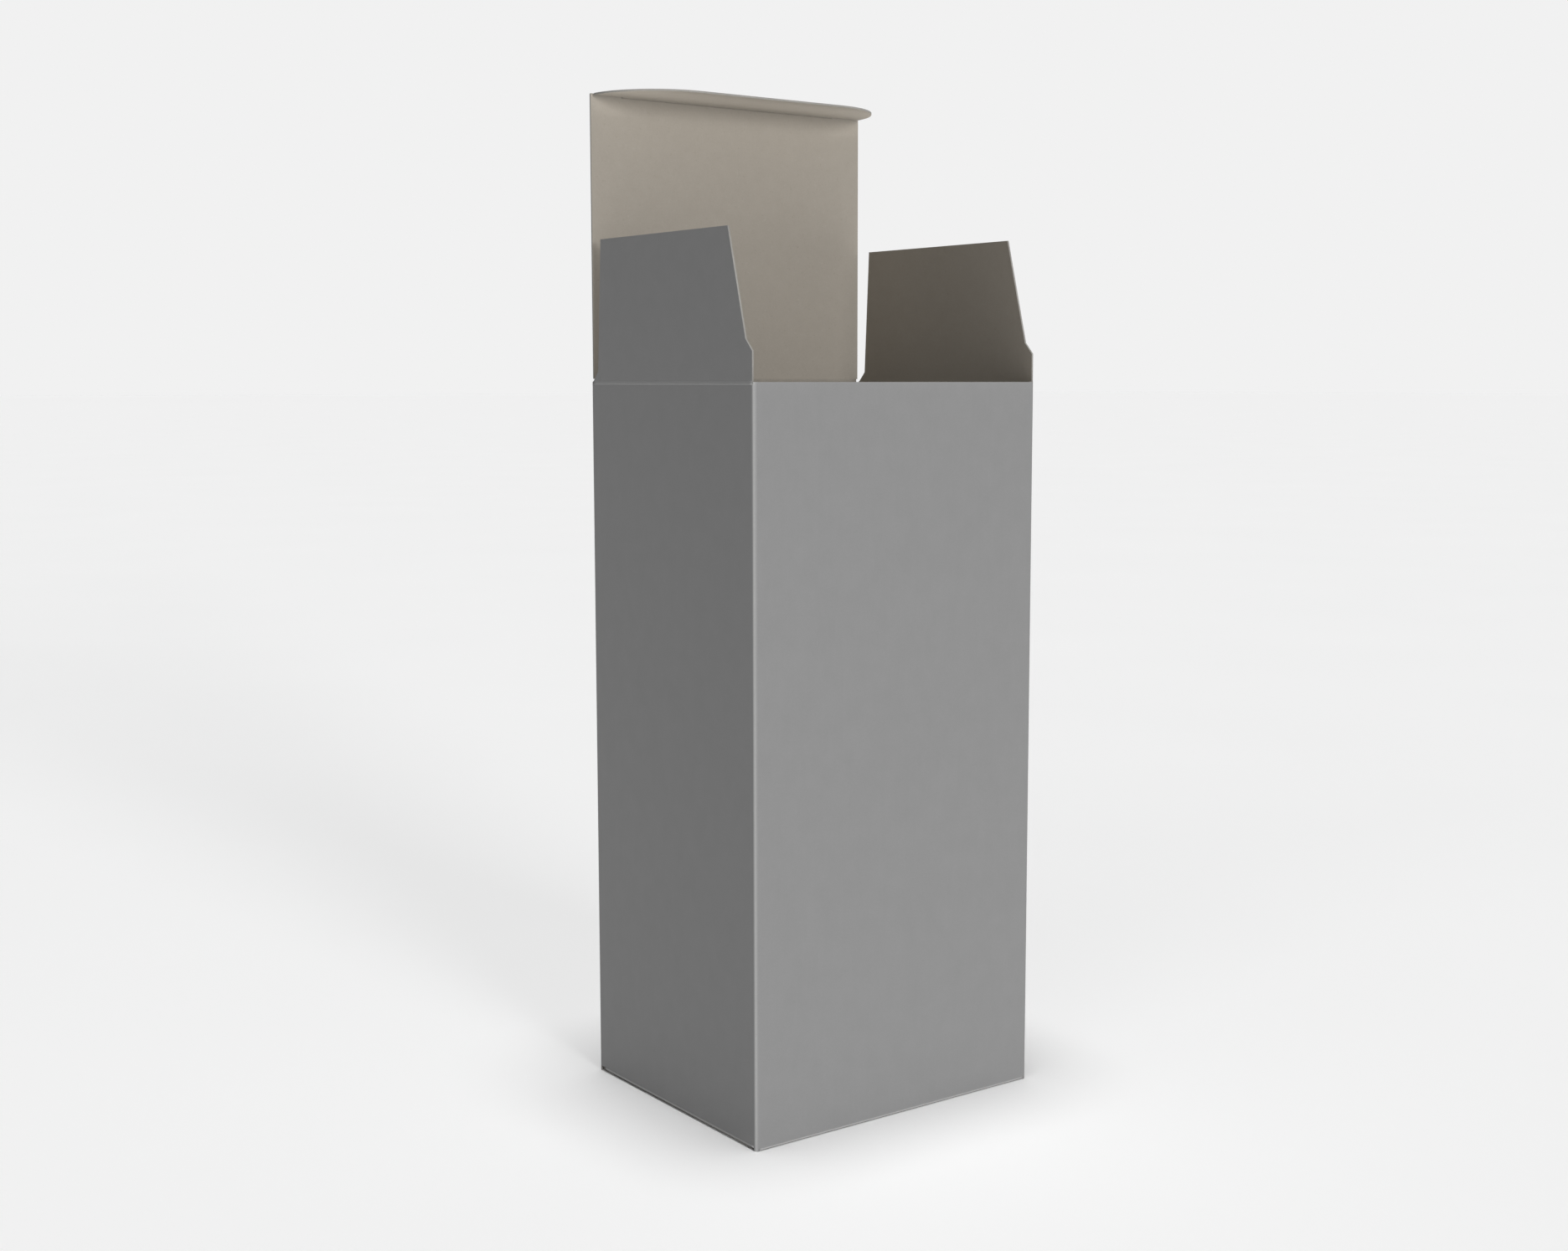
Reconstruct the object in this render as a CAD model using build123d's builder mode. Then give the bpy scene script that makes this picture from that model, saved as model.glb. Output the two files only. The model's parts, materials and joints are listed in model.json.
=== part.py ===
from build123d import *
import os
from math import asin, atan, cos, degrees, radians, sin, tan

# A tuck-end folding carton: one sheet of solid paperboard, cut and scored flat, glued into a tube
# along one upright edge, and shut at each end by a panel that tucks in. It stands with its lid up.
# Millimetres, +Z up, front wall towards -Y, origin at the middle of the underside.

# Overall size, outside, with the carton shut
width = 95.0
depth = 80.0
height = 200.0

# The board
board = 0.5
corner_radius = 1.0  # outside radius of an upright fold
slide_gap = 0.1  # between two boards that slide past each other

# A scored hinge line: the board stops short of the line on both sides, bevelled, and a thin bead
# of crushed fibre runs along it. All of it follows the board, so that it always folds as far.
score_gap = 0.6 * board
score_bevel = 0.4 * board
bead_radius = 0.44 * board

# Lid and base panels, and the tuck flaps on them
slit_length = 10.0  # cut inwards from each end of a tuck flap's score
tuck_depth = 22.0
tuck_radius = 22.0  # of the tuck flap's two rounded ears
slit_play = 0.35  # room beside the dust flap that a slit takes in
lid_corner = 0.3  # cut off the lid's corners at its hinge
base_corner = 1.0  # cut off the base panel's, which turn between the front's upright folds
tab_corner = 0.2  # cut off the corners beside its tuck flap
tuck_unfold = 0.4  # degrees that the base's tuck flap unfolds for each degree that the base opens
tuck_spare = 0.75  # degrees to spare as the tuck flap's end passes the back wall's lower edge

# Dust flaps
flap_length = 39.5
shoulder_height = 8.0
shoulder_step = 3.0
tuck_side_taper = 15.0
hinge_side_corner = 2.9
hinge_side_taper = 3.0
shoulder_gap = 0.15  # from the inside of the wall that the lid's tuck flap goes behind
base_shoulder_gap = 2.7  # the base's dust flaps leave its tuck flap room to swing out

# Glue seam, in the upright edge at the back right
glue_flap_width = 15.0
glue_flap_taper = 15.0
glue_end_inset = 2.0  # from the carton's top and bottom
glue_thickness = 0.1
glue_margin = 2.5  # from the glue to the glue flap's edges
seam_inset = 0.1  # from the right wall's cut edge to the outside of the back wall

# Mid-planes of the walls, and the heights of the hinge lines
front_mid = depth / 2 - board / 2
side_mid = width / 2 - board / 2
lid_axis_height = height + slide_gap + board / 2
flap_axis_height = height - board / 2
base_axis_height = board / 2
base_flap_axis_height = board + slide_gap + board / 2

# Centres of the upright folds
fold_x = width / 2 - corner_radius
fold_y = depth / 2 - corner_radius
seam_fold_x = fold_x - board - glue_thickness

# From a panel's hinge line to its tuck flap's, and half widths along them
panel_reach = depth - 2 * board - slide_gap
panel_half = width / 2 - board - slide_gap
tuck_half = width / 2 - 2 * board - glue_thickness - slide_gap  # slides inside the glue flap
tuck_score_half = panel_half - slit_length
base_tuck_lean = (  # degrees that the base's tuck flap springs in from upright, when shut in
    degrees(asin(tuck_depth / (2 * panel_reach)))
    + tuck_unfold * degrees(atan(tuck_depth / panel_reach))
    + tuck_spare
)
slit_width = board / 2 + slide_gap + board + slit_play
flap_hinge_side = fold_y - slide_gap
flap_tuck_side = depth / 2 - board - shoulder_gap
base_flap_tuck_side = depth / 2 - board - base_shoulder_gap


def hinge_plane(origin, along, away):
    """Plane with its x axis on a hinge line and its y axis running away along the hinged board."""
    return Plane(origin=origin, x_dir=along, z_dir=Vector(*along).cross(Vector(*away)))


lid_hinge = hinge_plane((0, front_mid, lid_axis_height), (1, 0, 0), (0, 0, 1))
lid_tuck_hinge = hinge_plane(
    (0, front_mid, lid_axis_height + panel_reach), (1, 0, 0), (0, -1, 0)
)
base_hinge = hinge_plane((0, -front_mid, base_axis_height), (1, 0, 0), (0, 1, 0))
base_tuck_hinge = hinge_plane(
    (0, panel_reach - front_mid, base_axis_height),
    (1, 0, 0),
    (0, -sin(radians(base_tuck_lean)), cos(radians(base_tuck_lean))),
)


def flap_hinge(side):
    """Hinge of a dust flap at the top, which stands up; side is -1 left or 1 right."""
    return hinge_plane((side * side_mid, 0, flap_axis_height), (0, 1, 0), (0, 0, 1))


def base_flap_hinge(side):
    """Hinge of a dust flap at the bottom, which lies folded in over the base panel."""
    origin = (side * side_mid, 0, base_flap_axis_height)
    return hinge_plane(origin, (0, 1, 0), (-side, 0, 0))


def save(piece, name):
    piece.part.label = name
    export_step(piece.part, f"parts/{name}.step")


# ---------------------------------------------------------------- walls and upright folds


def wall(name, mid_plane, start, end, bottom, top, scored):
    """Upright wall; scored lists its ends that meet a hinge line: 0 the lower, -1 the upper."""
    with BuildPart() as panel:
        with BuildSketch(mid_plane):
            with Locations(((start + end) / 2, (bottom + top) / 2)):
                Rectangle(end - start, top - bottom)
        extrude(amount=board / 2, both=True)
        along = Axis(mid_plane.origin, mid_plane.x_dir)
        levels = panel.edges().filter_by(along).group_by(Axis.Z)
        chamfer([edge for level in scored for edge in levels[level]], score_bevel)
    save(panel, name)


def quarter_shell(centre, start_angle, bottom, top):
    """Board bent round a quarter turn about an upright line."""
    with BuildPart() as shell:
        with BuildSketch(Plane.XY.offset(bottom)):
            with BuildLine():
                outer = CenterArc(centre, corner_radius, start_angle, 90)
                inner = CenterArc(centre, corner_radius - board, start_angle, 90)
                Line(outer @ 0, inner @ 0)
                Line(outer @ 1, inner @ 1)
            make_face()
        extrude(amount=top - bottom)
    return shell.part


def front_fold(name, side):
    """Upright fold at the front, let down at its top where a dust flap's shoulder swings."""
    shoulder_room = flap_tuck_side + slide_gap
    with BuildPart() as fold:
        add(quarter_shell((side * fold_x, -fold_y), 180 if side < 0 else 270, 0, height))
        with BuildSketch(Plane.XY.offset(flap_axis_height - score_gap)):
            with Locations((side * fold_x, -shoulder_room)):
                Rectangle(2 * corner_radius, corner_radius, align=(Align.CENTER, Align.MIN))
        extrude(amount=height, mode=Mode.SUBTRACT)
    save(fold, name)


def back_left_fold():
    with BuildPart() as fold:
        add(quarter_shell((-fold_x, fold_y), 90, 0, lid_axis_height - score_gap))
    save(fold, "back_left_fold")


# ---------------------------------------------------------------- glue seam


def seam_fold():
    """Fold that takes the back wall round into the glue flap, inside the right wall."""
    with BuildPart() as fold:
        add(quarter_shell((seam_fold_x, fold_y), 0, glue_end_inset, height - glue_end_inset))
    save(fold, "glue_flap_fold")


def glue_flap():
    free_edge = fold_y - glue_flap_width
    slope = glue_flap_width * tan(radians(glue_flap_taper))
    with BuildPart() as flap:
        with BuildSketch(Plane.YZ.offset(side_mid - board - glue_thickness)):
            with BuildLine():
                Polyline(
                    (fold_y, glue_end_inset),
                    (fold_y, height - glue_end_inset),
                    (free_edge, height - glue_end_inset - slope),
                    (free_edge, glue_end_inset + slope),
                    close=True,
                )
            make_face()
        extrude(amount=board / 2, both=True)
    save(flap, "glue_flap")


def glue_line():
    slope = glue_flap_width * tan(radians(glue_flap_taper))
    length = height - 2 * (glue_end_inset + slope + glue_margin)
    with BuildPart() as line:
        with BuildSketch(Plane.YZ.offset(width / 2 - board - glue_thickness)):
            with Locations((fold_y - glue_flap_width / 2, height / 2)):
                Rectangle(glue_flap_width - 2 * glue_margin, length)
        extrude(amount=glue_thickness)
    save(line, "glue_line")


# ---------------------------------------------------------------- hinged boards


def crease(name, hinge, start, end):
    """Bead of crushed fibre along a hinge line."""
    with BuildPart() as bead:
        with BuildSketch(Plane(hinge.origin + hinge.x_dir * start, z_dir=hinge.x_dir)):
            Circle(bead_radius)
        extrude(amount=end - start)
    save(bead, name)


def scored_edges(piece, hinge, rows):
    """Edges along the hinge line, in rows counted from it."""
    along = Axis(hinge.origin, hinge.x_dir)
    away = Axis(hinge.origin, hinge.y_dir)
    found = piece.edges().filter_by(along).group_by(away)
    return [edge for row in rows for edge in found[row]]


def closing_panel(name, hinge, hinge_corner):
    """Lid or base: a square panel with a tab beyond the end of each slit."""
    far = panel_reach - score_gap
    tab_end = panel_reach + board / 2
    with BuildPart() as panel:
        with BuildSketch(hinge):
            with BuildLine():
                half = Polyline(
                    (0, score_gap),
                    (panel_half - hinge_corner, score_gap),
                    (panel_half, score_gap + hinge_corner),
                    (panel_half, tab_end - tab_corner),
                    (panel_half - tab_corner, tab_end),
                    (tuck_score_half, tab_end),
                    (tuck_score_half, far),
                    (0, far),
                )
                mirror(half, about=Plane.YZ)
            make_face()
        extrude(amount=board / 2, both=True)
        chamfer(scored_edges(panel, hinge, (0, 1)), score_bevel)
    save(panel, name)


def tuck_flap(name, hinge):
    """Flap that tucks in, with a quarter-round ear beyond each slit."""
    score_end = tuck_score_half - slide_gap
    arc_centre = (tuck_half - tuck_radius, tuck_depth - tuck_radius)
    start_angle = degrees(asin((slit_width - arc_centre[1]) / tuck_radius))
    with BuildPart() as flap:
        with BuildSketch(hinge):
            with BuildLine():
                ear = CenterArc(arc_centre, tuck_radius, start_angle, 90 - start_angle)
                inside = Polyline(
                    (0, score_gap), (score_end, score_gap), (score_end, slit_width), ear @ 0
                )
                outside = Line(ear @ 1, (0, tuck_depth))
                mirror((ear, inside, outside), about=Plane.YZ)
            make_face()
        extrude(amount=board / 2, both=True)
        chamfer(scored_edges(flap, hinge, (0,)), score_bevel)
    save(flap, name)


def dust_flap(name, hinge, tuck_side, tuck_edge):
    """Side flap; tuck_side is -1 or 1, the way along the hinge to the edge by the tuck flap."""
    step_top = shoulder_height + shoulder_step
    tuck_side_end = (
        tuck_edge - shoulder_step - (flap_length - step_top) * tan(radians(tuck_side_taper))
    )
    corner_top = score_gap + hinge_side_corner
    corner_edge = flap_hinge_side - hinge_side_corner
    hinge_side_end = corner_edge - (flap_length - corner_top) * tan(radians(hinge_side_taper))
    with BuildPart() as flap:
        with BuildSketch(hinge):
            with BuildLine():
                Polyline(
                    (tuck_side * tuck_edge, score_gap),
                    (tuck_side * tuck_edge, shoulder_height),
                    (tuck_side * (tuck_edge - shoulder_step), step_top),
                    (tuck_side * tuck_side_end, flap_length),
                    (-tuck_side * hinge_side_end, flap_length),
                    (-tuck_side * corner_edge, corner_top),
                    (-tuck_side * flap_hinge_side, score_gap),
                    close=True,
                )
            make_face()
        extrude(amount=board / 2, both=True)
        chamfer(scored_edges(flap, hinge, (0,)), score_bevel)
    save(flap, name)


# ---------------------------------------------------------------- the carton

os.makedirs("parts", exist_ok=True)

wall("front_wall", Plane.XZ.offset(front_mid), -fold_x, fold_x,
     base_axis_height + score_gap, height, scored=(0,))
wall("back_wall", Plane.XZ.offset(-front_mid), -fold_x, seam_fold_x,
     0, lid_axis_height - score_gap, scored=(-1,))
for side, side_name, back_end in ((-1, "left", fold_y), (1, "right", depth / 2 - seam_inset)):
    wall(f"{side_name}_wall", Plane.YZ.offset(side * side_mid), -fold_y, back_end,
         base_flap_axis_height + score_gap, flap_axis_height - score_gap, scored=(0, -1))
    front_fold(f"front_{side_name}_fold", side)
back_left_fold()

seam_fold()
glue_flap()
glue_line()

for end_name, panel_hinge, flap_tuck_hinge, hinge_corner in (
    ("lid", lid_hinge, lid_tuck_hinge, lid_corner),
    ("base", base_hinge, base_tuck_hinge, base_corner),
):
    closing_panel(f"{end_name}_panel", panel_hinge, hinge_corner)
    tuck_flap(f"{end_name}_tuck_flap", flap_tuck_hinge)
    panel_crease_half = fold_x - slide_gap
    tuck_crease_half = tuck_score_half - slide_gap
    crease(f"{end_name}_crease", panel_hinge, -panel_crease_half, panel_crease_half)
    crease(f"{end_name}_tuck_crease", flap_tuck_hinge, -tuck_crease_half, tuck_crease_half)

for side, side_name in ((-1, "left"), (1, "right")):
    upper, lower = flap_hinge(side), base_flap_hinge(side)
    dust_flap(f"{side_name}_dust_flap", upper, -1, flap_tuck_side)
    crease(f"{side_name}_dust_flap_crease", upper, -flap_tuck_side, flap_hinge_side)
    dust_flap(f"{side_name}_base_dust_flap", lower, 1, base_flap_tuck_side)
    crease(f"{side_name}_base_dust_flap_crease", lower, -flap_hinge_side, base_flap_tuck_side)
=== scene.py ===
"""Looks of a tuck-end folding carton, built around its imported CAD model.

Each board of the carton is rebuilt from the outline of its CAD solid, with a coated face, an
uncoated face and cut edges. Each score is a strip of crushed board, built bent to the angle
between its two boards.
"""

import json
import math

import bmesh
import bpy
from mathutils import Matrix, Vector, noise

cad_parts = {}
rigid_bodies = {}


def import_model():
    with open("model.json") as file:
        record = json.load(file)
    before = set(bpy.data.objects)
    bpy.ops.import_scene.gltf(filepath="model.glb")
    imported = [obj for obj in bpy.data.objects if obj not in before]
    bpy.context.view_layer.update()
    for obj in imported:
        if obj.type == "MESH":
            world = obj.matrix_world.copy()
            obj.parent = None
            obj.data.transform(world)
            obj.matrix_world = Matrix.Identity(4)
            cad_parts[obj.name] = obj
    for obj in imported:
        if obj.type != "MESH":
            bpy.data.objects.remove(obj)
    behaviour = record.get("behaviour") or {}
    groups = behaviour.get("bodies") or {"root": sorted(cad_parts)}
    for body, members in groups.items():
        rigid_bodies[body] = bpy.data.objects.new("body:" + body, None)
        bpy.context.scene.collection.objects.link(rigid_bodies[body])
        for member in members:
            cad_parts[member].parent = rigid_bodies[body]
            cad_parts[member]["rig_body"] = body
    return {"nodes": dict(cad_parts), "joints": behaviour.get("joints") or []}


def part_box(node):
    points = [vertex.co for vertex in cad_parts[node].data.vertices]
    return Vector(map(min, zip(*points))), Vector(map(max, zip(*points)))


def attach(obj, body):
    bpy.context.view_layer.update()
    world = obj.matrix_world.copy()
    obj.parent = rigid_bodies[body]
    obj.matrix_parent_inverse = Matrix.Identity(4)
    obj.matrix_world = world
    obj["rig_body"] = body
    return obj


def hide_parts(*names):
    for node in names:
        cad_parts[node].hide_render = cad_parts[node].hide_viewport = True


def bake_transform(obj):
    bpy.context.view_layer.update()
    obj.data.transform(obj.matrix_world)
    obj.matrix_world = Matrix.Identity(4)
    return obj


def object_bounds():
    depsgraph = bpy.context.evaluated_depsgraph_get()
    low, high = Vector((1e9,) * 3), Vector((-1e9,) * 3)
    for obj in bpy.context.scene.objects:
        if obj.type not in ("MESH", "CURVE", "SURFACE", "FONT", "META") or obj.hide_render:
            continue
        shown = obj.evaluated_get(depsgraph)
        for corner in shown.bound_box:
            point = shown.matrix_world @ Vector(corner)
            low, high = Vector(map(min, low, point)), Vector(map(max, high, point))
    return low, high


MM = 0.001

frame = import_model()
cad_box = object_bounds()
lowest = Vector(cad_box[0])
highest = Vector(cad_box[1])
carton_width = highest.x - lowest.x

JOINTS = {joint["name"]: joint for joint in frame["joints"]}
NODES = frame["nodes"]

COATED, PLAIN, CUT = 0, 1, 2  # material slots of a board: outside, inside, cut edge

FACING = {  # the way that each board's coated side looks, roughly
    "front_wall": (0, -1, 0),
    "left_wall": (-1, 0, 0),
    "back_wall": (0, 1, 0),
    "right_wall": (1, 0, 0),
    "glue_flap": (1, 0, 0),
    "lid_panel": (0, 1, 0),
    "lid_tuck_flap": (0, 0, 1),
    "left_dust_flap": (-1, 0, 0),
    "right_dust_flap": (1, 0, 0),
    "base_panel": (0, 0, -1),
    "base_tuck_flap": (0, 1, 0),
    "left_base_dust_flap": (0, 0, -1),
    "right_base_dust_flap": (0, 0, -1),
}

COAT_COLOUR = (0.222, 0.222, 0.222)
PALE_COAT_HIGHLIGHT_COLOUR = (0.375, 0.375, 0.372)  # coat pulled thin over a fold, made paler still as a painted highlight
PULP_COLOUR = (0.310, 0.282, 0.243)  # uncoated back of the board
FLECK_COLOUR = (0.215, 0.190, 0.158)
PALE_FIBRE_COLOUR = (0.40, 0.375, 0.33)
CORE_COLOUR = (0.222, 0.216, 0.202)  # cut edge
CRUSHED_COLOUR = (0.27, 0.248, 0.215)  # inner ridge of a score
GLUE_COLOUR = (0.62, 0.57, 0.46)
BUBBLE_COLOUR = (0.74, 0.71, 0.62)
FLOOR_COLOUR = (0.96, 0.96, 0.96)

HALF_THICKNESS = 0.25 * MM  # of the board
CUT_ROUNDING = 0.05 * MM
SHARP_ANGLE = math.radians(50)

SCORE_REACH = 0.5 * MM  # from a hinge line to the end of the board's flat face
SECTION_STEPS = 16
STATION_LENGTH = 1.2 * MM
GROOVE_DEPTH = 0.07 * MM
GROOVE_HALF_WIDTH = 0.2 * MM
WANDER = 0.02 * MM  # that the groove's depth varies by
WANDER_PER_MM = 0.35
SHOULDER_HIGHLIGHT_PLACE = -0.26 * MM  # of the painted highlight line beside a groove
SHOULDER_HIGHLIGHT_WIDTH = 0.15 * MM
FOLD_HIGHLIGHT_PLACE = math.radians(38)  # of the painted highlight band on an upright fold
FOLD_HIGHLIGHT_WIDTH = math.radians(21)

SAME_POINT = 0.001 * MM
SAME_LEVEL = 0.01 * MM
PROBE = 0.3 * MM  # beyond a board's side, to find what it joins
ROUGHLY_ALONG = 0.7  # cosines of the angle between two directions
NEARLY_ALONG = 0.9
ALONG = 0.999
STRAIGHT_ON = 0.999999

FLOOR_SIZE = 60
FLOOR_GAP = 0.02 * MM
AMBIENT = 0.03
BACKDROP = 0.88
REFLECTOR_POWER = 0.0048
REFLECTOR_SPREAD = math.radians(3)
REFLECTOR_LENGTH = 1.2  # this and the next two in carton widths
REFLECTOR_BREADTH = 0.16
REFLECTOR_PLACE = (0, -2.6, -2.5)  # from the point it shines at
REFLECTOR_AIM = 2 * MM  # in front of the tuck flap's middle

LENS = 46.18
SENSOR = 36
SHIFT_X = -0.0187
SHIFT_Y = -0.0064
CAMERA_PLACE = (-3.043, -4.372, 2.105)  # carton widths from the CAD box's lowest corner
CAMERA_AZIMUTH = -36.527  # degrees
CAMERA_ELEVATION = 6.622


# ---------------------------------------------------------------- materials


def start_material(name):
    """New material with a Principled shader, and the object coordinates in metres."""
    material = bpy.data.materials.new(name)
    material.use_nodes = True
    tree = material.node_tree
    tree.nodes.clear()
    output = tree.nodes.new("ShaderNodeOutputMaterial")
    shader = tree.nodes.new("ShaderNodeBsdfPrincipled")
    tree.links.new(shader.outputs["BSDF"], output.inputs["Surface"])
    place = tree.nodes.new("ShaderNodeTexCoord").outputs["Object"]
    return material, tree, shader, place


def stretched(tree, place, factors):
    """Coordinates multiplied axis by axis."""
    mapping = tree.nodes.new("ShaderNodeMapping")
    mapping.inputs["Scale"].default_value = factors
    tree.links.new(place, mapping.inputs["Vector"])
    return mapping.outputs["Vector"]


def grain(tree, place, size, detail=2.0, roughness=0.5, distortion=0.0):
    """Noise whose blotches are about size metres across."""
    texture = tree.nodes.new("ShaderNodeTexNoise")
    texture.inputs["Scale"].default_value = 1 / size
    texture.inputs["Detail"].default_value = detail
    texture.inputs["Roughness"].default_value = roughness
    texture.inputs["Distortion"].default_value = distortion
    tree.links.new(place, texture.inputs["Vector"])
    return texture.outputs["Fac"]


def spread(tree, value, low, high, from_low=0.3, from_high=0.7):
    """Value taken from its usual range to low..high."""
    scale = tree.nodes.new("ShaderNodeMapRange")
    scale.inputs["From Min"].default_value = from_low
    scale.inputs["From Max"].default_value = from_high
    scale.inputs["To Min"].default_value = low
    scale.inputs["To Max"].default_value = high
    tree.links.new(value, scale.inputs["Value"])
    return scale.outputs["Result"]


def calculate(tree, operation, first, second):
    """Math node on two sockets or numbers."""
    node = tree.nodes.new("ShaderNodeMath")
    node.operation = operation
    for socket, value in zip(node.inputs, (first, second)):
        if isinstance(value, (int, float)):
            socket.default_value = value
        else:
            tree.links.new(value, socket)
    return node.outputs["Value"]


def blended(tree, share, first, second):
    """Mix of two colours; each is a socket or three numbers."""
    node = tree.nodes.new("ShaderNodeMix")
    node.data_type = "RGBA"
    for socket, value in (
        (node.inputs["Factor"], share),
        (node.inputs["A"], first),
        (node.inputs["B"], second),
    ):
        if isinstance(value, tuple):
            socket.default_value = (*value, 1)
        else:
            tree.links.new(value, socket)
    return node.outputs["Result"]


def brightened(tree, colour, factor):
    """Colour times a socket."""
    node = tree.nodes.new("ShaderNodeVectorMath")
    node.operation = "SCALE"
    if isinstance(colour, tuple):
        node.inputs["Vector"].default_value = colour
    else:
        tree.links.new(colour, node.inputs["Vector"])
    tree.links.new(factor, node.inputs["Scale"])
    return node.outputs["Vector"]


def raised(tree, shader, height, depth):
    """Bump from a 0..1 height of that depth in metres."""
    bump = tree.nodes.new("ShaderNodeBump")
    bump.inputs["Strength"].default_value = 1
    bump.inputs["Distance"].default_value = depth
    tree.links.new(height, bump.inputs["Height"])
    tree.links.new(bump.outputs["Normal"], shader.inputs["Normal"])


def coated_board():
    """Grey clay coat: the board's faint cloudiness under it, fine calender mottle, low gloss."""
    material, tree, shader, place = start_material("coated_board")
    cloud = grain(tree, place, 6 * MM, detail=3)
    mottle = grain(tree, place, 0.35 * MM, detail=3, roughness=0.6)
    rub = grain(tree, stretched(tree, place, (1, 1, 0.12)), 1.6 * MM, detail=4)
    shade = calculate(
        tree, "MULTIPLY", spread(tree, cloud, 0.985, 1.015), spread(tree, mottle, 0.975, 1.025)
    )
    shade = calculate(tree, "MULTIPLY", shade, spread(tree, rub, 0.99, 1.01))
    tree.links.new(brightened(tree, COAT_COLOUR, shade), shader.inputs["Base Color"])
    gloss = calculate(
        tree, "ADD", spread(tree, mottle, -0.04, 0.04), spread(tree, rub, 0.46, 0.56)
    )
    tree.links.new(gloss, shader.inputs["Roughness"])
    shader.inputs["Specular IOR Level"].default_value = 0.25
    raised(tree, shader, mottle, 0.008 * MM)
    return material


def plain_board():
    """Uncoated back of the board: warm grey pulp, cloudy, with short pale and dark fibres."""
    material, tree, shader, place = start_material("plain_board")
    cloud = grain(tree, place, 4 * MM, detail=5, roughness=0.62)
    lint = grain(tree, place, 0.3 * MM, detail=4, roughness=0.65, distortion=0.8)
    shade = calculate(
        tree, "MULTIPLY", spread(tree, cloud, 0.98, 1.02), spread(tree, lint, 0.97, 1.03)
    )
    fibres = fibre_mask(tree, place)
    pulp = blended(tree, calculate(tree, "MULTIPLY", fibres, 0.4), PULP_COLOUR, FLECK_COLOUR)
    pale = fibre_mask(tree, stretched(tree, place, (-1.13, 0.94, 1.07)))
    pulp = blended(tree, calculate(tree, "MULTIPLY", pale, 0.3), pulp, PALE_FIBRE_COLOUR)
    tree.links.new(brightened(tree, pulp, shade), shader.inputs["Base Color"])
    shader.inputs["Roughness"].default_value = 0.85
    shader.inputs["Specular IOR Level"].default_value = 0.15
    raised(tree, shader, calculate(tree, "ADD", lint, fibres), 0.01 * MM)
    return material


def fibre_mask(tree, place):
    """Thin curled lines, 1 to 2 mm long: a slow noise's middle value, kept in patches."""
    bend = grain(tree, place, 1.3 * MM, detail=2, distortion=1.5)
    line = calculate(tree, "ABSOLUTE", calculate(tree, "SUBTRACT", bend, 0.5), 0)
    thin = spread(tree, line, 1, 0, 0.004, 0.014)
    pieces = grain(tree, place, 1.1 * MM, detail=1)
    return calculate(tree, "MULTIPLY", thin, spread(tree, pieces, 0, 1, 0.56, 0.62))


def cut_board():
    """Cut edge: pale core with the plies' lines, a little furry."""
    material, tree, shader, place = start_material("cut_board")
    plies = grain(tree, place, 0.12 * MM, detail=3, roughness=0.7)
    nicks = grain(tree, place, 0.9 * MM, detail=2)
    shade = calculate(
        tree, "MULTIPLY", spread(tree, plies, 0.9, 1.1), spread(tree, nicks, 0.95, 1.05)
    )
    tree.links.new(brightened(tree, CORE_COLOUR, shade), shader.inputs["Base Color"])
    shader.inputs["Roughness"].default_value = 0.9
    shader.inputs["Specular IOR Level"].default_value = 0.1
    raised(tree, shader, plies, 0.02 * MM)
    return material


def coat_with_painted_highlight(name, across):
    """Coat along a fold: pulled thin and pale with fine cracks, plus a painted highlight, where
    the vertex attribute it reads is 1.

    across scales the coordinates so that the cracks are long along the fold.
    """
    material, tree, shader, place = start_material(name)
    highlight_share_node = tree.nodes.new("ShaderNodeAttribute")
    highlight_share_node.attribute_name = "stretch_and_highlight"
    cracks = grain(tree, stretched(tree, place, across), 0.12 * MM, detail=3, roughness=0.6)
    mottle = grain(tree, place, 0.35 * MM, detail=3)
    share = calculate(tree, "MULTIPLY", highlight_share_node.outputs["Fac"], spread(tree, cracks, 0.8, 1.1))
    colour = blended(tree, share, COAT_COLOUR, PALE_COAT_HIGHLIGHT_COLOUR)
    shade = spread(tree, mottle, 0.975, 1.025)
    tree.links.new(brightened(tree, colour, shade), shader.inputs["Base Color"])
    tree.links.new(spread(tree, mottle, 0.42, 0.52), shader.inputs["Roughness"])
    shader.inputs["Specular IOR Level"].default_value = 0.25
    raised(tree, shader, cracks, 0.008 * MM)
    return material


def crushed_fibre():
    """Inner ridge of a score: fibres pressed together and loosened, duller than flat board."""
    material, tree, shader, place = start_material("crushed_fibre")
    lint = grain(tree, place, 0.18 * MM, detail=4, roughness=0.7, distortion=1)
    patches = grain(tree, place, 1.5 * MM, detail=3)
    shade = calculate(
        tree, "MULTIPLY", spread(tree, lint, 0.88, 1.12), spread(tree, patches, 0.95, 1.05)
    )
    tree.links.new(brightened(tree, CRUSHED_COLOUR, shade), shader.inputs["Base Color"])
    shader.inputs["Roughness"].default_value = 0.92
    shader.inputs["Specular IOR Level"].default_value = 0.1
    raised(tree, shader, lint, 0.03 * MM)
    return material


def dried_glue():
    """Carton adhesive, dried: amber white, dull, with a few bubbles."""
    material, tree, shader, place = start_material("dried_glue")
    film = grain(tree, place, 1.2 * MM, detail=3)
    bubbles = spread(tree, grain(tree, place, 0.4 * MM, detail=1), 0, 1, 0.62, 0.7)
    colour = blended(tree, bubbles, GLUE_COLOUR, BUBBLE_COLOUR)
    colour = brightened(tree, colour, spread(tree, film, 0.93, 1.05))
    tree.links.new(colour, shader.inputs["Base Color"])
    tree.links.new(spread(tree, film, 0.35, 0.55), shader.inputs["Roughness"])
    raised(tree, shader, bubbles, 0.02 * MM)
    return material


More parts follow.
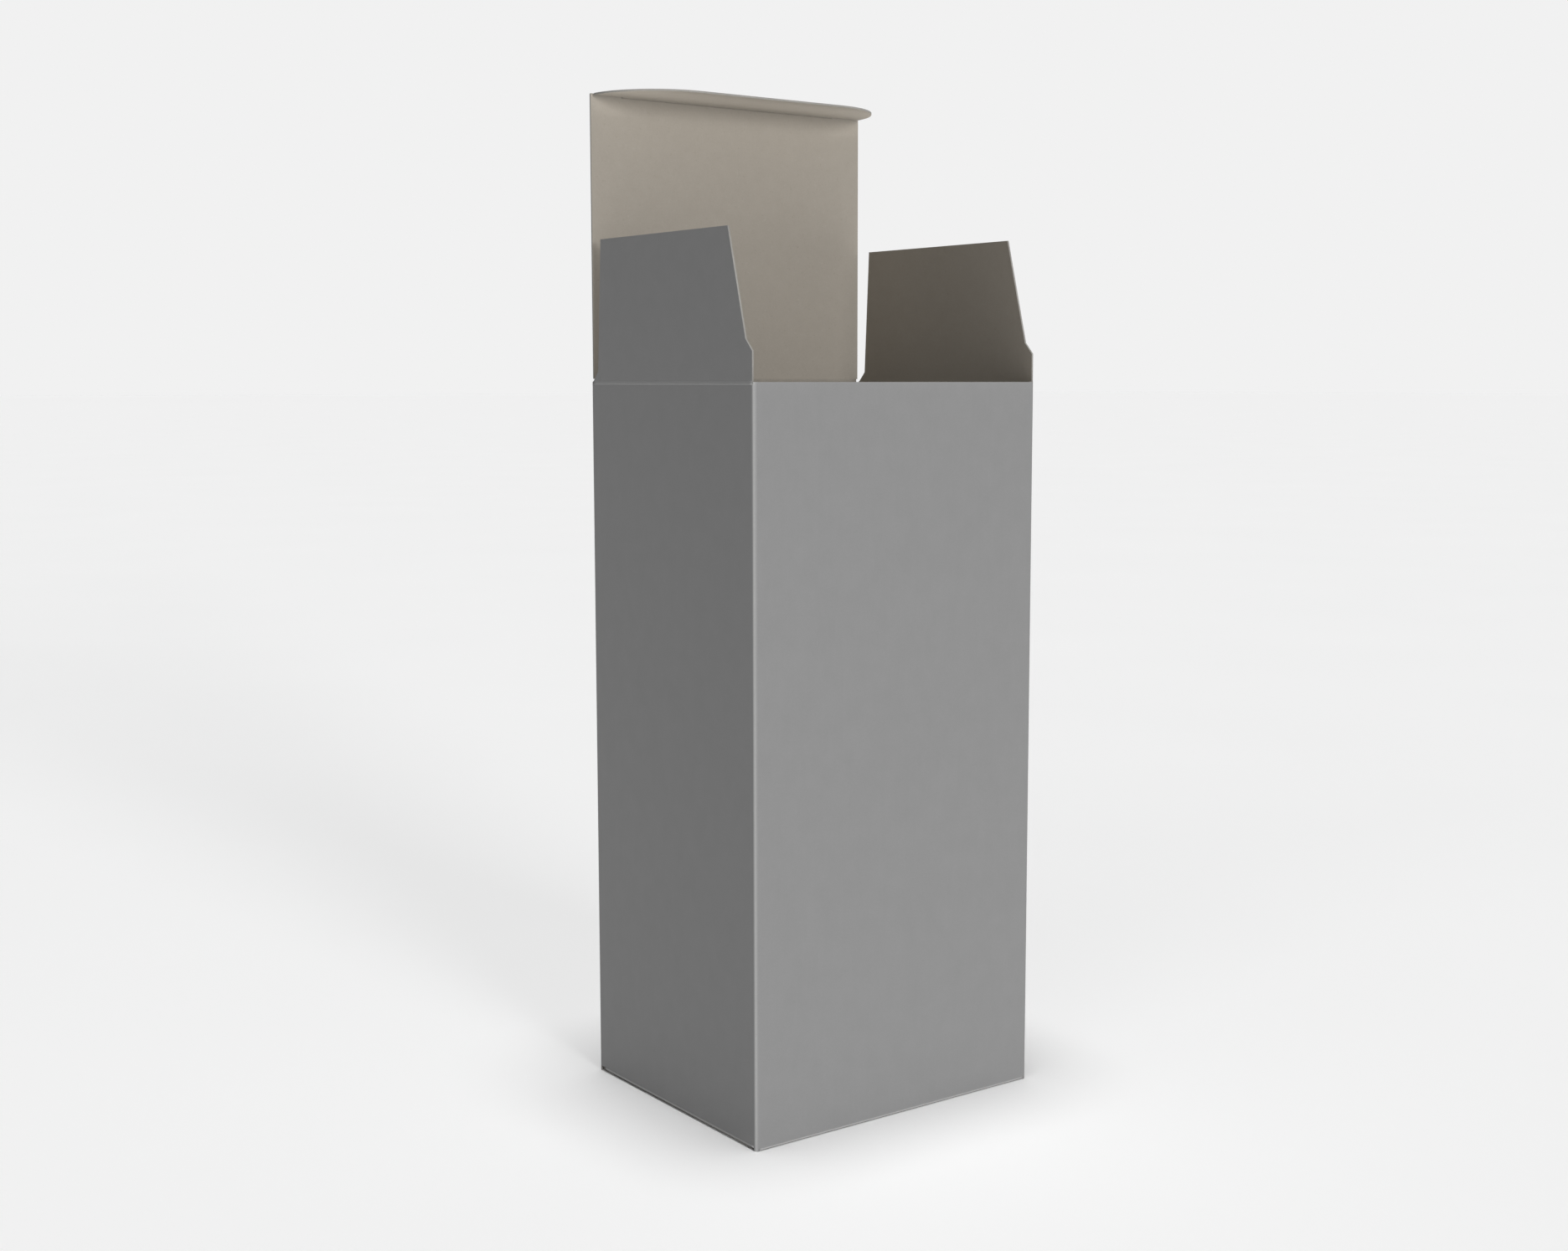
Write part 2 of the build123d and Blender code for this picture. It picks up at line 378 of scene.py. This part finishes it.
coated = coated_board()
plain = plain_board()
cut = cut_board()
crushed = crushed_fibre()
glue = dried_glue()
# Folds and scores: pale stretched coat, with a painted highlight band on each upright fold and a
# painted highlight line beside each score's groove.
fold_coat_and_highlight = coat_with_painted_highlight("fold_coat_and_highlight", (1, 1, 0.1))
score_coat_and_highlight = {
    "x": coat_with_painted_highlight("score_coat_and_highlight_x", (0.1, 1, 1)),
    "y": coat_with_painted_highlight("score_coat_and_highlight_y", (1, 0.1, 1)),
}


# ---------------------------------------------------------------- boards


def face_normal(node, facing):
    """Normal of the CAD board's largest face that looks roughly along facing."""
    mesh = NODES[node].data
    facing = Vector(facing)
    towards = [face for face in mesh.polygons if face.normal.dot(facing) > ROUGHLY_ALONG]
    return max(towards, key=lambda face: face.area).normal.normalized()


def outline(node, facing):
    """Corners, in order, of the flat face of a CAD board that looks along facing."""
    shape = bmesh.new()
    shape.from_mesh(NODES[node].data)
    bmesh.ops.remove_doubles(shape, verts=shape.verts, dist=SAME_POINT)
    shape.normal_update()
    top = max(vertex.co.dot(facing) for vertex in shape.verts)
    flat = [
        face
        for face in shape.faces
        if face.normal.dot(facing) > ALONG
        and abs(face.calc_center_median().dot(facing) - top) < SAME_LEVEL
    ]
    after = {}
    for face in flat:
        for loop in face.loops:
            others = [other for other in loop.edge.link_faces if other in flat]
            if len(others) == 1:
                after[loop.vert] = loop.link_loop_next.vert
    corner = next(iter(after))
    corners = []
    while corner in after:
        corners.append(corner.co.copy())
        corner = after.pop(corner)
    shape.free()
    return straightened(corners)


def straightened(corners):
    """Corners without the ones in the middle of a straight side."""
    kept = []
    for index, corner in enumerate(corners):
        before = corner - corners[index - 1]
        onwards = corners[(index + 1) % len(corners)] - corner
        if before.normalized().dot(onwards.normalized()) < STRAIGHT_ON:
            kept.append(corner)
    return kept


def joined(point, node):
    """Whether another CAD node's box holds the point, so that the board goes on there."""
    for other in NODES:
        low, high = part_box(other)
        if other != node and all(low[i] <= point[i] <= high[i] for i in range(3)):
            return True
    return False


def add_object(name, data):
    thing = bpy.data.objects.new(name, data)
    bpy.context.scene.collection.objects.link(thing)
    return thing


def finish_mesh(shape, name, materials):
    """Makes an object of a bmesh, whose faces and edges are already marked smooth or sharp."""
    mesh = bpy.data.meshes.new(name)
    shape.normal_update()
    shape.to_mesh(mesh)
    shape.free()
    for material in materials:
        mesh.materials.append(material)
    return add_object(name, mesh)


def keep_stretch_and_highlight(piece, values):
    """Stores at each vertex, 0 to 1, how far the coat is stretched and lightened as a painted
    highlight.
    """
    attribute = piece.data.attributes.new("stretch_and_highlight", "FLOAT", "POINT")
    attribute.data.foreach_set("value", values)


def board(node, body):
    """Board of a CAD node, with its coated side where FACING says."""
    facing = face_normal(node, FACING[node])
    corners = outline(node, facing)
    levels = [vertex.co.dot(facing) for vertex in NODES[node].data.vertices]
    thickness = max(levels) - min(levels)
    shape = bmesh.new()
    top = [shape.verts.new(corner) for corner in corners]
    bottom = [shape.verts.new(corner - facing * thickness) for corner in corners]
    face = shape.faces.new(top)
    face.material_index = COATED
    face = shape.faces.new(bottom[::-1])
    face.material_index = PLAIN
    cut_edges = []
    count = len(corners)
    for index in range(count):
        following = (index + 1) % count
        side = shape.faces.new((top[index], bottom[index], bottom[following], top[following]))
        side.material_index = CUT
        side.smooth = True
        side.normal_update()
        beyond = side.calc_center_median() + side.normal * PROBE
        if not joined(beyond, node):
            cut_edges.append(shape.edges.get((top[index], top[following])))
            cut_edges.append(shape.edges.get((bottom[index], bottom[following])))
    bmesh.ops.bevel(
        shape,
        geom=cut_edges,
        offset=CUT_ROUNDING,
        segments=2,
        profile=0.5,
        affect="EDGES",
        material=CUT,
        clamp_overlap=True,
    )
    for face in shape.faces:
        face.smooth = face.material_index == CUT
    shape.normal_update()
    for edge in shape.edges:
        edge.smooth = edge.calc_face_angle() < SHARP_ANGLE
    piece = finish_mesh(shape, f"{node}_board", (coated, plain, cut))
    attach(piece, body)
    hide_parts(node)
    return piece


# ---------------------------------------------------------------- upright folds


def upright_fold(node, body):
    """Rounded corner of the tube, on the CAD solid's own shape."""
    low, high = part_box(node)
    axis = Vector((min(low.x, high.x, key=abs), min(low.y, high.y, key=abs), 0))
    shape = bmesh.new()
    shape.from_mesh(NODES[node].data)
    bmesh.ops.remove_doubles(shape, verts=shape.verts, dist=SAME_POINT)
    shape.normal_update()
    for face in shape.faces:
        centre = face.calc_center_median()
        radial = Vector((centre.x - axis.x, centre.y - axis.y, 0)).normalized()
        outward = face.normal.dot(radial)
        if outward > NEARLY_ALONG:
            face.material_index = COATED
        elif outward < -NEARLY_ALONG:
            face.material_index = PLAIN
        else:
            face.material_index = CUT
        face.smooth = face.material_index != CUT
    for edge in shape.edges:
        edge.smooth = edge.calc_face_angle() < SHARP_ANGLE
    piece = finish_mesh(shape, f"{node}_board", (fold_coat_and_highlight, plain, cut))
    # Painted highlight: a pale band on the fold's arc, at the angle set above, where the rounded
    # corner would catch the light.
    stretch_and_highlight = []
    for vertex in piece.data.vertices:
        around = math.atan2(abs(vertex.co.y - axis.y), abs(vertex.co.x - axis.x))
        stretch_and_highlight.append(math.exp(-(((around - FOLD_HIGHLIGHT_PLACE) / FOLD_HIGHLIGHT_WIDTH) ** 2)))
    keep_stretch_and_highlight(piece, stretch_and_highlight)
    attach(piece, body)
    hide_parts(node)
    return piece


# ---------------------------------------------------------------- scores


def smooth_step(share):
    share = min(max(share, 0), 1)
    return share * share * (3 - 2 * share)


def square_to(vector, *directions):
    """Part of a vector that is square to the directions, one long."""
    for direction in directions:
        vector = vector - direction * vector.dot(direction)
    return vector.normalized()


def middle(node):
    low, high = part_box(node)
    return (low + high) / 2


def score_section():
    """Ring of (along, up, slot) points round a score laid flat, grooved outside, ridged inside."""
    ring = []
    for index in range(SECTION_STEPS + 1):
        along = SCORE_REACH * (2 * index / SECTION_STEPS - 1)
        ring.append((along, HALF_THICKNESS - GROOVE_DEPTH * bell(along), COATED))
    for index in range(SECTION_STEPS + 1):
        along = SCORE_REACH * (1 - 2 * index / SECTION_STEPS)
        ring.append((along, -HALF_THICKNESS - GROOVE_DEPTH * bell(along), PLAIN))
    return ring


def bell(along):
    """1 at the score's middle, 0 at its ends."""
    inside = max(0, 1 - (along / SCORE_REACH) ** 2)
    return inside * math.exp(-((along / GROOVE_HALF_WIDTH) ** 2))


def shoulder_highlight(along):
    """1 where a painted highlight line runs along the score's edge on the parent's side."""
    return math.exp(-(((along - SHOULDER_HIGHLIGHT_PLACE) / SHOULDER_HIGHLIGHT_WIDTH) ** 2))


def score(node, joint_name, parent_board, child_board):
    """Strip of crushed board along a hinge line, bent to the angle between its two boards."""
    joint = JOINTS[joint_name]
    axis = Vector(joint["axis"])
    pivot = Vector(joint["pos_m"])
    outside = face_normal(parent_board, FACING[parent_board])
    child_outside = face_normal(child_board, FACING[child_board])
    before = square_to(pivot - middle(parent_board), axis, outside)
    onwards = square_to(middle(child_board) - pivot, axis, child_outside)
    fold = math.atan2(before.cross(onwards).dot(axis), before.dot(onwards))
    start, end = sorted(corner.dot(axis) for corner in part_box(node))
    ring = score_section()
    stations = max(2, round((end - start) / STATION_LENGTH))
    shape = bmesh.new()
    rows = []
    for station in range(stations + 1):
        place = start + (end - start) * station / stations
        origin = pivot + axis * (place - pivot.dot(axis))
        row = []
        for along, up, _ in ring:
            share = smooth_step((along + SCORE_REACH) / (2 * SCORE_REACH))
            wander = WANDER * noise.noise(Vector((place / MM * WANDER_PER_MM, 0, len(node))))
            flat = before * along + outside * (up + wander * bell(along))
            row.append(shape.verts.new(origin + Matrix.Rotation(share * fold, 3, axis) @ flat))
        rows.append(row)
    count = len(ring)
    for first, second in zip(rows, rows[1:]):
        for index in range(count):
            following = (index + 1) % count
            face = shape.faces.new(
                (first[index], first[following], second[following], second[index])
            )
            same = ring[index][2] == ring[following][2]
            face.material_index = ring[index][2] if same else CUT
            face.smooth = same
    for row in (rows[0][::-1], rows[-1]):
        for index in range(count // 2 - 1):
            opposite = count - 1 - index
            face = shape.faces.new((row[index], row[index + 1], row[opposite - 1], row[opposite]))
            face.material_index = CUT
    bmesh.ops.recalc_face_normals(shape, faces=shape.faces)
    letter = "xyz"[max(range(3), key=lambda i: abs(axis[i]))]
    piece = finish_mesh(shape, f"{node}_strip", (score_coat_and_highlight[letter], crushed, cut))
    # Painted highlight: a pale line beside the groove, on the parent board's side.
    highlight_along_section = [shoulder_highlight(along) for along, _, _ in ring]
    keep_stretch_and_highlight(piece, highlight_along_section * (stations + 1))
    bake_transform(piece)
    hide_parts(node)
    return piece


# ---------------------------------------------------------------- carton

for node in FACING:
    board(node, NODES[node]["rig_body"])
for node in ("front_left_fold", "front_right_fold", "back_left_fold", "glue_flap_fold"):
    upright_fold(node, NODES[node]["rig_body"])

score("lid_crease", "lid_hinge", "back_wall", "lid_panel")
score("lid_tuck_crease", "lid_tuck_fold", "lid_panel", "lid_tuck_flap")
score("base_crease", "base_hinge", "front_wall", "base_panel")
score("base_tuck_crease", "base_tuck_fold", "base_panel", "base_tuck_flap")
for side in ("left", "right"):
    for place in ("", "base_"):
        flap = f"{side}_{place}dust_flap"
        score(f"{flap}_crease", f"{side}_{place}flap_fold", f"{side}_wall", flap)

NODES["glue_line"].data.materials.clear()
NODES["glue_line"].data.materials.append(glue)


# ---------------------------------------------------------------- floor, light and camera


def pale_floor():
    """Wide, pale, matte floor."""
    bpy.ops.mesh.primitive_grid_add(x_subdivisions=8, y_subdivisions=8, size=FLOOR_SIZE)
    floor = bpy.context.object
    floor.name = "studio_floor"
    floor.location.z = lowest.z - FLOOR_GAP
    material, tree, shader, place = start_material("studio_floor")
    shade = spread(tree, grain(tree, place, 0.2), 0.995, 1.005)
    tree.links.new(brightened(tree, FLOOR_COLOUR, shade), shader.inputs["Base Color"])
    shader.inputs["Roughness"].default_value = 0.95
    shader.inputs["Specular IOR Level"].default_value = 0.0
    floor.data.materials.append(material)


def looking_from(direction):
    """Rotation of a lamp or camera that stands in that direction and looks back at the carton."""
    return direction.to_track_quat("Z", "Y").to_euler()


def direction_of(azimuth, elevation):
    """Direction in degrees: azimuth from the front, to the right, and elevation."""
    around = math.radians(azimuth)
    up = math.radians(elevation)
    level = Vector((math.sin(around), -math.cos(around), 0))
    return level * math.cos(up) + Vector((0, 0, math.sin(up)))


def sun(name, azimuth, elevation, width, power):
    """Soft distant light; its azimuth, elevation and width across are in degrees."""
    light = bpy.data.lights.new(name, "SUN")
    light.energy = power
    light.angle = math.radians(width)
    add_object(name, light).rotation_euler = looking_from(direction_of(azimuth, elevation))


def low_reflector():
    """Soft beam from low in front, over the front wall, up to the lid's tuck flap."""
    light = bpy.data.lights.new("low_reflector", "AREA")
    light.shape = "RECTANGLE"
    light.size = REFLECTOR_LENGTH * carton_width
    light.size_y = REFLECTOR_BREADTH * carton_width
    light.spread = REFLECTOR_SPREAD
    light.energy = REFLECTOR_POWER
    lamp = add_object("low_reflector", light)
    target = middle("lid_tuck_flap") - Vector((0, REFLECTOR_AIM, 0))
    lamp.location = target + Vector(REFLECTOR_PLACE) * carton_width
    lamp.rotation_euler = looking_from(lamp.location - target)
    lamp.visible_camera = False


def white_surround():
    """White behind the object; it lights the carton only faintly."""
    world = bpy.data.worlds.new("surround")
    bpy.context.scene.world = world
    world.use_nodes = True
    tree = world.node_tree
    background = tree.nodes["Background"]
    background.inputs["Color"].default_value = (1, 1, 1, 1)
    seen = tree.nodes.new("ShaderNodeLightPath").outputs["Is Camera Ray"]
    tree.links.new(spread(tree, seen, AMBIENT, BACKDROP, 0, 1), background.inputs["Strength"])


def camera():
    """Camera low in front of the carton's left corner, looking slightly down."""
    data = bpy.data.cameras.new("camera")
    data.lens = LENS
    data.sensor_width = SENSOR
    data.shift_x = SHIFT_X
    data.shift_y = SHIFT_Y
    data.clip_start = 0.01
    data.clip_end = 200
    viewer = add_object("camera", data)
    viewer.location = lowest + Vector(CAMERA_PLACE) * carton_width
    viewer.rotation_euler = looking_from(direction_of(CAMERA_AZIMUTH, CAMERA_ELEVATION))
    bpy.context.scene.camera = viewer


pale_floor()
white_surround()
sun("overhead_light", azimuth=0, elevation=90, width=20, power=2.35)
sun("key_light", azimuth=-4, elevation=6, width=20, power=2.55)
sun("fill_light", azimuth=-60, elevation=24, width=40, power=0.33)
low_reflector()
camera()
view = bpy.context.scene.view_settings
view.view_transform = "Standard"
view.look = "None"
view.exposure = 0
view.gamma = 1
